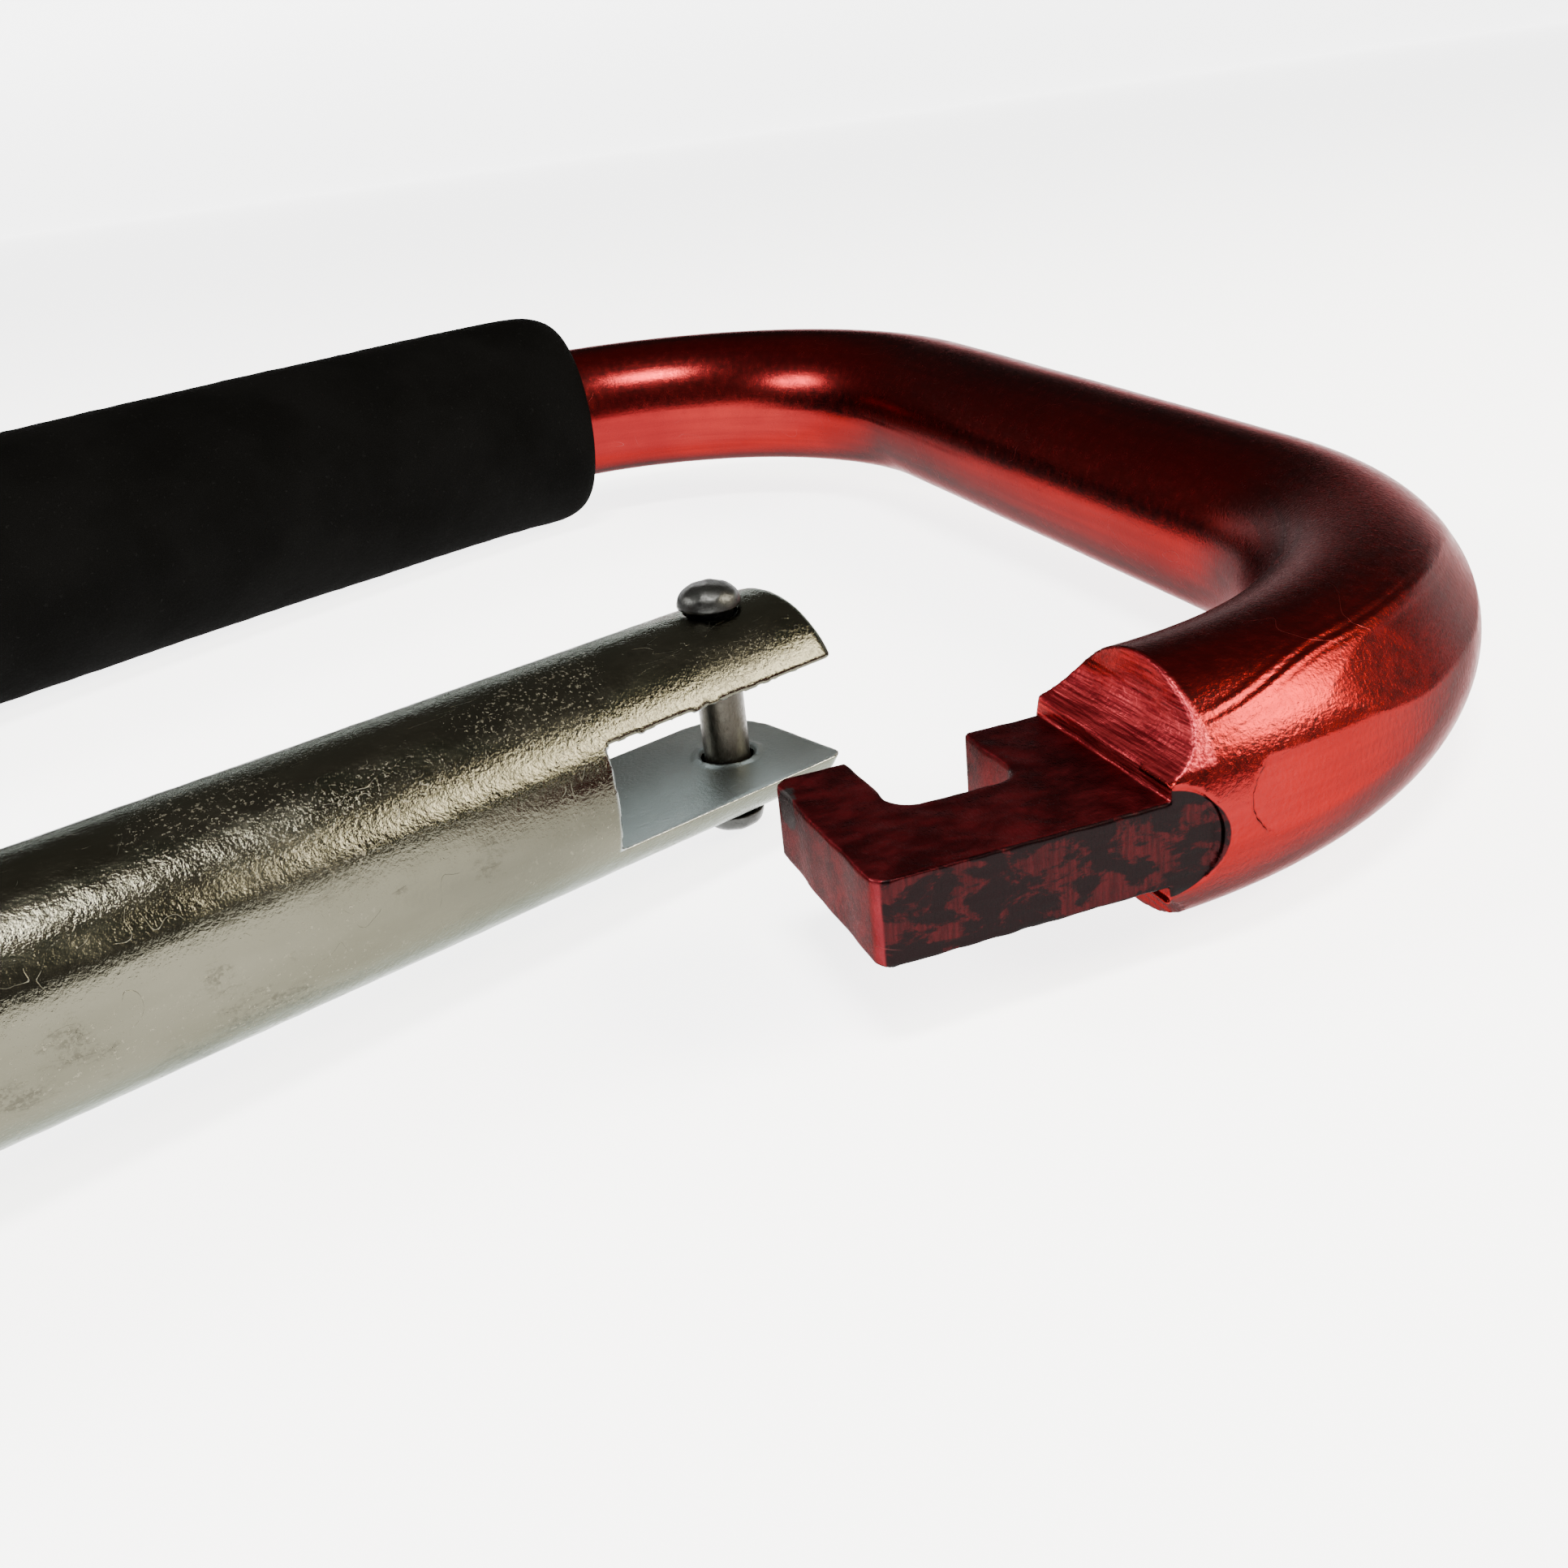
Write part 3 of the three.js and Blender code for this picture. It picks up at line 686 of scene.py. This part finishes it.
# ---------------------------------------------------------------- materials
class Finish:
    """Short names for the nodes that the materials are made of."""

    def __init__(self, name, metallic, ior=1.5):
        self.material = bpy.data.materials.new(name)
        self.material.use_nodes = True
        self.tree = self.material.node_tree
        self.shader = self.tree.nodes["Principled BSDF"]
        self.shader.inputs["Metallic"].default_value = metallic
        self.shader.inputs["IOR"].default_value = ior

    def add(self, kind, inputs, output=0, **settings):
        node = self.tree.nodes.new("ShaderNode" + kind)
        for key, value in settings.items():
            setattr(node, key, value)
        for key, value in inputs.items():
            self.give(node.inputs[key], value)
        return node.outputs[output]

    def give(self, socket, value):
        if isinstance(value, bpy.types.NodeSocket):
            self.tree.links.new(value, socket)
        else:
            socket.default_value = value

    def place(self, name, stretch=(1, 1, 1)):
        """The piece's own millimetres, scaled along each axis."""
        point = self.add("Attribute", {}, 1, attribute_name=name)
        return self.add("VectorMath", {0: point, 1: stretch}, operation="MULTIPLY")

    def axis(self, name, index):
        point = self.add("Attribute", {}, 1, attribute_name=name)
        return self.add("SeparateXYZ", {0: point}, index)

    def noise(self, place, scale, detail=4, rough=0.55, twist=0.0):
        inputs = {"Vector": place, "Scale": scale, "Detail": detail}
        return self.add("TexNoise", {**inputs, "Roughness": rough, "Distortion": twist})

    def ramp(self, value, low, high, start=0.0, end=1.0):
        """A smooth step from start, where value is low, to end, where it is high."""
        inputs = {"Value": value, "From Min": low, "From Max": high, "To Min": start, "To Max": end}
        return self.add("MapRange", inputs, interpolation_type="SMOOTHSTEP")

    def math(self, operation, a, b=0.0):
        return self.add("Math", {0: a, 1: b}, operation=operation)

    def mask(self, *values):
        """The product of several masks."""
        result = values[0]
        for value in values[1:]:
            result = self.math("MULTIPLY", result, value)
        return result

    def mix(self, share, a, b):
        """Colour a, or b where share is 1."""
        colours = [value if isinstance(value, bpy.types.NodeSocket) else (*value, 1) for value in (a, b)]
        return self.add("Mix", {0: share, 6: colours[0], 7: colours[1]}, 2, data_type="RGBA")

    def blend(self, share, a, b):
        """Number a, or b where share is 1."""
        return self.add("Mix", {0: share, 2: a, 3: b}, 0, data_type="FLOAT")

    def bump(self, height, distance, strength=1.0, onto=None):
        """The normal of a relief whose depth is distance, in millimetres."""
        inputs = {"Height": height, "Distance": distance * MM, "Strength": strength}
        if onto:
            inputs["Normal"] = onto
        return self.add("Bump", inputs)

    def finish(self, colour, roughness, normal):
        self.give(self.shader.inputs["Base Color"], colour)
        self.give(self.shader.inputs["Roughness"], roughness)
        self.give(self.shader.inputs["Normal"], normal)
        return self.material

    def scratches(self, name, stretch, scale, width, seed_shift):
        """Sparse fine lines: where a stretched noise passes its middle value."""
        place = self.place(name, stretch)
        place = self.add("VectorMath", {0: place, 1: (seed_shift, seed_shift, seed_shift)}, operation="ADD")
        line = self.math("ABSOLUTE", self.math("SUBTRACT", self.noise(place, scale, 1, 0.4, 0.6), 0.5))
        return self.ramp(line, 0, width, 1, 0)


def nose_masks(f, s, outward, height):
    """Where the plate, the flat on its outer side and the upper scallop are, each from 0 to 1."""
    lift = f.math("ABSOLUTE", f.math("ADD", height, PLATE_DROP))
    plate = f.mask(f.ramp(s, SHOULDER - 0.06, SHOULDER - 0.14), f.ramp(lift, 2.6, 2.2))
    face = ROD_R - FLAT_INSET
    past = f.math("MAXIMUM", f.math("SUBTRACT", s, FLAT_END), 0.0)
    square = f.math("ADD", f.math("MULTIPLY", past, past), f.math("POWER", lift, 2.0))
    # square is from the flat's middle line, and fades just inside FLAT_HALF
    flat = f.mask(f.ramp(square, 6.5, 6.1), f.ramp(outward, face - 0.20, face - 0.09))
    top = PLATE_T / 2 - PLATE_DROP
    scallop = f.mask(f.ramp(s, SHOULDER - 0.14, SHOULDER - 0.06), f.ramp(height, top - 0.05, top + 0.05))
    scallop = f.mask(scallop, f.ramp(s, SCALLOP_END + 0.25, SCALLOP_END - 0.05))
    return plate, flat, f.mask(scallop, f.ramp(outward, face - 0.05, face - 0.20))


def red_anodised():
    """Glossy red on the rod, satin on the plate, dull and stained on its flat, tooled in the scallop."""
    f = Finish("red_anodised", 1.0)
    f.shader.inputs["Specular Tint"].default_value = (0.22, 0.022, 0.028, 1)
    f.shader.inputs["Coat Weight"].default_value = 0.09
    f.shader.inputs["Coat Roughness"].default_value = 0.3
    f.shader.inputs["Coat IOR"].default_value = 1.5
    rod = f.place("rod")
    s, outward, height = (f.axis("rod", i) for i in range(3))
    plate, flat, scallop = nose_masks(f, s, outward, height)
    soft, fine = f.noise(rod, 0.09, 3), f.noise(rod, 1.4, 5, 0.6)
    lines = f.noise(f.place("rod", (0.05, 1.6, 1.6)), 1.2, 4, 0.6)
    blotch = f.noise(f.place("rod", (0.5, 0.8, 0.9)), 0.9, 6, 0.68, 0.3)
    brushed = f.noise(f.place("rod", (4.0, 1.0, 0.35)), 1.6, 4, 0.6)
    tooled = f.noise(f.place("rod", (7.0, 0.35, 7.0)), 1.0, 3, 0.6)
    nicks = f.scratches("rod", (0.5, 1, 1), 0.35, 0.004, 4.0)
    worn = f.mask(nicks, f.ramp(f.noise(rod, 0.12, 2), 0.56, 0.66))

    colour = f.mix(f.ramp(soft, 0.3, 0.7), (0.118, 0.0042, 0.0050), (0.152, 0.0072, 0.0070))
    colour = f.mix(f.ramp(lines, 0.35, 0.65, 0.0, 0.35), colour, (0.088, 0.0024, 0.0034))
    satin = f.mix(f.ramp(blotch, 0.35, 0.65), (0.066, 0.0050, 0.0075), (0.098, 0.0085, 0.0115))
    colour = f.mix(plate, colour, satin)
    dull = f.mix(f.ramp(brushed, 0.35, 0.65), (0.012, 0.0008, 0.0013), (0.024, 0.0020, 0.0028))
    colour = f.mix(flat, colour, dull)
    stain = f.mask(flat, f.ramp(blotch, 0.44, 0.52))
    colour = f.mix(stain, colour, (0.0030, 0.0005, 0.0008))
    bright = f.mix(f.ramp(tooled, 0.38, 0.62), (0.16, 0.010, 0.015), (0.42, 0.040, 0.048))
    colour = f.mix(scallop, colour, bright)
    chip = (-PLATE_TIP, -3.9, 0.9)
    from_chip = f.add("VectorMath", {0: rod, 1: chip}, 1, operation="DISTANCE")
    bare = f.ramp(f.math("ADD", from_chip, fine), 1.45, 1.3)
    colour = f.mix(bare, colour, (0.060, 0.056, 0.056))
    colour = f.mix(f.mask(worn, 0.45), colour, (0.16, 0.045, 0.045))

    roughness = f.ramp(fine, 0.25, 0.75, 0.18, 0.29)
    roughness = f.blend(plate, roughness, f.ramp(blotch, 0.3, 0.7, 0.34, 0.5))
    roughness = f.blend(scallop, roughness, 0.40)
    roughness = f.blend(flat, roughness, 0.42)
    roughness = f.blend(f.mask(worn, 0.7), roughness, 0.45)

    peel = f.mask(f.noise(rod, 4.6, 3, 0.55), f.ramp(s, 60, 30, 0.3, 1))
    normal = f.bump(peel, 0.030, 1.0)
    normal = f.bump(lines, 0.012, 0.8, normal)
    milled = f.noise(f.place("rod", (2.2, 0.7, 0.7)), 1.7, 4, 0.6)
    normal = f.bump(milled, 0.07, f.mask(plate, 0.6), normal)
    normal = f.bump(nicks, 0.01, worn, normal)
    normal = f.bump(tooled, 0.05, scallop, normal)
    normal = f.bump(brushed, 0.03, flat, normal)
    return f.finish(colour, roughness, normal)


def plated_steel():
    """Bright plating, stained and specked, with fine scratches, and cleaner inside the latch's slot."""
    f = Finish("plated_steel", 1.0)
    f.shader.inputs["Specular Tint"].default_value = (0.62, 0.66, 0.64, 1)
    bar = f.place("bar")
    x, z = f.axis("bar", 0), f.axis("bar", 2)
    soft = f.noise(f.place("bar", (0.35, 1, 1)), 0.16, 4, 0.6)
    cloud = f.noise(f.place("bar", (0.5, 1, 1)), 0.5, 6, 0.65)
    grit = f.noise(bar, 4.5, 4, 0.7)
    patches = f.ramp(f.noise(f.place("bar", (0.6, 1, 1)), 0.2, 3), 0.42, 0.72)
    specks = f.mask(f.ramp(f.noise(bar, 5.0, 5, 0.7), 0.585, 0.63), patches)
    lines = f.scratches("bar", (0.25, 1, 1), 1.4, 0.003, 2.0)
    crossing = f.scratches("bar", (0.7, 1, 0.4), 0.8, 0.003, 7.0)
    crossing = f.mask(crossing, f.ramp(cloud, 0.46, 0.38))
    marks = f.math("MAXIMUM", f.mask(lines, f.ramp(cloud, 0.54, 0.62)), crossing)
    slot_end = GATE_REACH - LATCH_SLOT
    between_cheeks = f.ramp(f.math("ABSOLUTE", z), SLOT_HALF + 0.08, SLOT_HALF + 0.02)
    in_slot = f.mask(between_cheeks, f.ramp(x, slot_end - 0.25, slot_end + 0.1))

    colour = f.mix(f.ramp(soft, 0.3, 0.7), (0.060, 0.058, 0.042), (0.082, 0.079, 0.059))
    stains = f.mask(f.ramp(cloud, 0.54, 0.66), f.ramp(grit, 0.42, 0.58))
    colour = f.mix(f.mask(stains, 0.6), colour, (0.030, 0.028, 0.021))
    colour = f.mix(f.mask(specks, 0.6), colour, (0.17, 0.16, 0.12))
    colour = f.mix(in_slot, colour, (0.31, 0.345, 0.35))

    roughness = f.ramp(cloud, 0.3, 0.7, 0.13, 0.26)
    roughness = f.blend(specks, roughness, 0.5)
    roughness = f.blend(f.mask(marks, 0.6), roughness, 0.45)
    roughness = f.blend(in_slot, roughness, 0.36)

    peel = f.mask(f.noise(bar, 4.6, 3, 0.65), f.ramp(x, 40, 66, 0.7, 1))
    normal = f.bump(peel, 0.034, 1.0)
    normal = f.bump(f.math("SUBTRACT", f.mask(specks, 0.5), marks), 0.012, 1.0, normal)
    brushed = f.noise(f.place("bar", (0.12, 3, 3)), 2.2, 3, 0.6)
    normal = f.bump(brushed, 0.008, in_slot, normal)
    return f.finish(colour, roughness, normal)


def grey_steel(name, light, dark, stretch):
    """Plain mottled steel, browner below the rivets' heads."""
    f = Finish(name, 1.0)
    place = f.place("bar", stretch)
    shank = f.ramp(f.math("ABSOLUTE", f.axis("bar", 2)), 4.6, 4.0)
    cloud, grit = f.noise(place, 0.9, 4, 0.6), f.noise(place, 6, 4, 0.7)
    colour = f.mix(f.ramp(cloud, 0.3, 0.7), dark, light)
    colour = f.mix(f.ramp(grit, 0.56, 0.64, 0, 0.5), colour, tuple(0.5 * value for value in dark))
    colour = f.mix(f.mask(shank, 0.55), colour, (0.060, 0.052, 0.038))
    roughness = f.ramp(grit, 0.3, 0.7, 0.28, 0.46)
    normal = f.bump(grit, 0.02, 0.8)
    return f.finish(colour, roughness, f.bump(cloud, 0.05, 0.5, normal))


def black_foam():
    """Matt foam rubber with fine pores."""
    f = Finish("black_foam", 0.0, 1.35)
    place = f.place("rod")
    pores, soft = f.noise(place, 3.0, 5, 0.7), f.noise(place, 0.12, 3)
    colour = f.mix(f.ramp(soft, 0.3, 0.7), (0.0015, 0.0015, 0.0014), (0.0023, 0.0023, 0.0022))
    colour = f.mix(f.ramp(pores, 0.6, 0.72, 0, 0.7), colour, (0.0060, 0.0060, 0.0058))
    f.shader.inputs["Specular IOR Level"].default_value = 0.01
    roughness = f.ramp(pores, 0.3, 0.7, 0.82, 0.98)
    cellular = f.add("TexVoronoi", {"Vector": place, "Scale": 3.5})
    normal = f.bump(cellular, 0.05, 0.6)
    return f.finish(colour, roughness, f.bump(pores, 0.09, 0.8, normal))


# ---------------------------------------------------------------- stage, light and camera
FLOOR_GLOW = 4.0
BEHIND = Vector((0.31, 0.95, 0))      # away from the camera, in the nose's frame


def white_stage():
    """An off-white floor that glows evenly, for the photo's plain white background."""
    f = Finish("white_stage", 0.0)
    place = f.add("TexCoord", {}, 3)
    soft = f.noise(place, 2.0, 3)
    colour = f.mix(f.ramp(soft, 0.3, 0.7), (0.80, 0.80, 0.79), (0.83, 0.83, 0.83))
    f.give(f.shader.inputs["Emission Color"], (1, 1, 1, 1))
    f.give(f.shader.inputs["Emission Strength"], FLOOR_GLOW)
    return f.finish(colour, f.ramp(soft, 0.3, 0.7, 0.85, 0.95), f.bump(soft, 0.05, 0.1))


def make_stage():
    """A floor that curves up into a wall well behind the carabiner."""
    half, front, back, wall, curve = 6.0, -5.0, 2.0, 0.36, 0.2
    profile = [(t, 0.0) for t in np.linspace(front, back - curve, 30)]
    profile += arc(back - curve, curve, curve, -90, 0, 16)[1:]
    profile += [(back, z) for z in np.linspace(curve, wall, 8)[1:]]
    across = np.linspace(-half, half, 40)
    work = bmesh.new()
    rows = [[work.verts.new((a, t, z)) for a in across] for t, z in profile]
    for near, far in zip(rows, rows[1:]):
        for i in range(len(near) - 1):
            work.faces.new((near[i], near[i + 1], far[i + 1], far[i]))
    facing = NOSE_TURN @ BEHIND
    turn = Matrix.Rotation(math.atan2(-facing.x, facing.y), 4, "Z")
    return finished("stage", work, turn, white_stage())


def add_panel(name, direction, distance, size, power, colour):
    """A soft rectangular light, facing the latch from a direction in the nose's frame."""
    data = bpy.data.lights.new(name, "AREA")
    data.shape, data.energy, data.color = "RECTANGLE", power, colour
    data.size, data.size_y = size
    lamp = bpy.data.objects.new(name, data)
    toward = (NOSE_TURN @ Vector(direction)).normalized()
    lamp.location = NOSE.translation + toward * distance
    lamp.rotation_euler = toward.to_track_quat("Z", "Y").to_euler()
    bpy.context.scene.collection.objects.link(lamp)


def add_world():
    world = bpy.data.worlds.new("dim_room")
    world.use_nodes = True
    background = world.node_tree.nodes["Background"]
    background.inputs["Color"].default_value = (1.0, 0.95, 0.87, 1)
    background.inputs["Strength"].default_value = 0.25
    bpy.context.scene.world = world


# the camera, in the nose's frame: its place in millimetres, then degrees
EYE = Vector((-25.657, -54.47, 30.627))
EYE_HEADING, EYE_DIP, EYE_ROLL = 71.725, 24.893, -6.132
LENS, SENSOR = 36.505, 36.0


def add_camera():
    data = bpy.data.cameras.new("camera")
    data.lens, data.sensor_width, data.clip_start = LENS, SENSOR, 0.001
    turn = NOSE_TURN
    for angle, axis in ((EYE_HEADING - 90, "Z"), (90 - EYE_DIP, "X"), (EYE_ROLL, "Z")):
        turn = turn @ Matrix.Rotation(math.radians(angle), 3, axis)
    camera = bpy.data.objects.new("camera", data)
    camera.matrix_world = Matrix.Translation(NOSE @ EYE) @ turn.to_4x4()
    bpy.context.scene.collection.objects.link(camera)
    bpy.context.scene.camera = camera


# ---------------------------------------------------------------- assembly
def put(piece, body, node):
    """Fixes a piece to a body, in place of a CAD node."""
    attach(piece, body)
    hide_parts(node)
    return piece


rivet_steel = grey_steel("rivet_steel", (0.050, 0.052, 0.050), (0.028, 0.028, 0.027), (1, 1, 1))
spring_steel = grey_steel("spring_steel", (0.28, 0.28, 0.27), (0.18, 0.18, 0.175), (1, 0.4, 0.4))
put(make_body(red_anodised()), "frame", "body_frame")
put(make_gate_bar(plated_steel()), "gate", "gate_bar")
foam = put(make_foam(black_foam()), "frame", "foam_grip")
put(make_rivet("latch_pin", LATCH_RIVET, GATE_REACH, 51, rivet_steel), "gate", "latch_rivet")
put(make_rivet("hinge_pin", HINGE_RIVET, 0, 52, rivet_steel), "gate", "hinge_rivet")
coil = make_spring(spring_steel)
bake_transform(coil)
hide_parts("gate_spring")
put(make_plunger(rivet_steel), "plunger", "spring_plunger")

make_stage()
add_world()
AMBER, WARM_WHITE = (1.0, 0.90, 0.72), (1.0, 0.97, 0.94)
add_panel("key", (0.77, -0.36, 0.56), 0.45, (0.22, 0.18), 4.6, AMBER)
add_panel("overhead", (-0.10, -0.23, 0.96), 0.32, (0.12, 0.06), 2.0, WARM_WHITE)
add_panel("left_rear", (-0.81, 0.35, 0.47), 0.32, (0.12, 0.06), 1.0, WARM_WHITE)
add_camera()
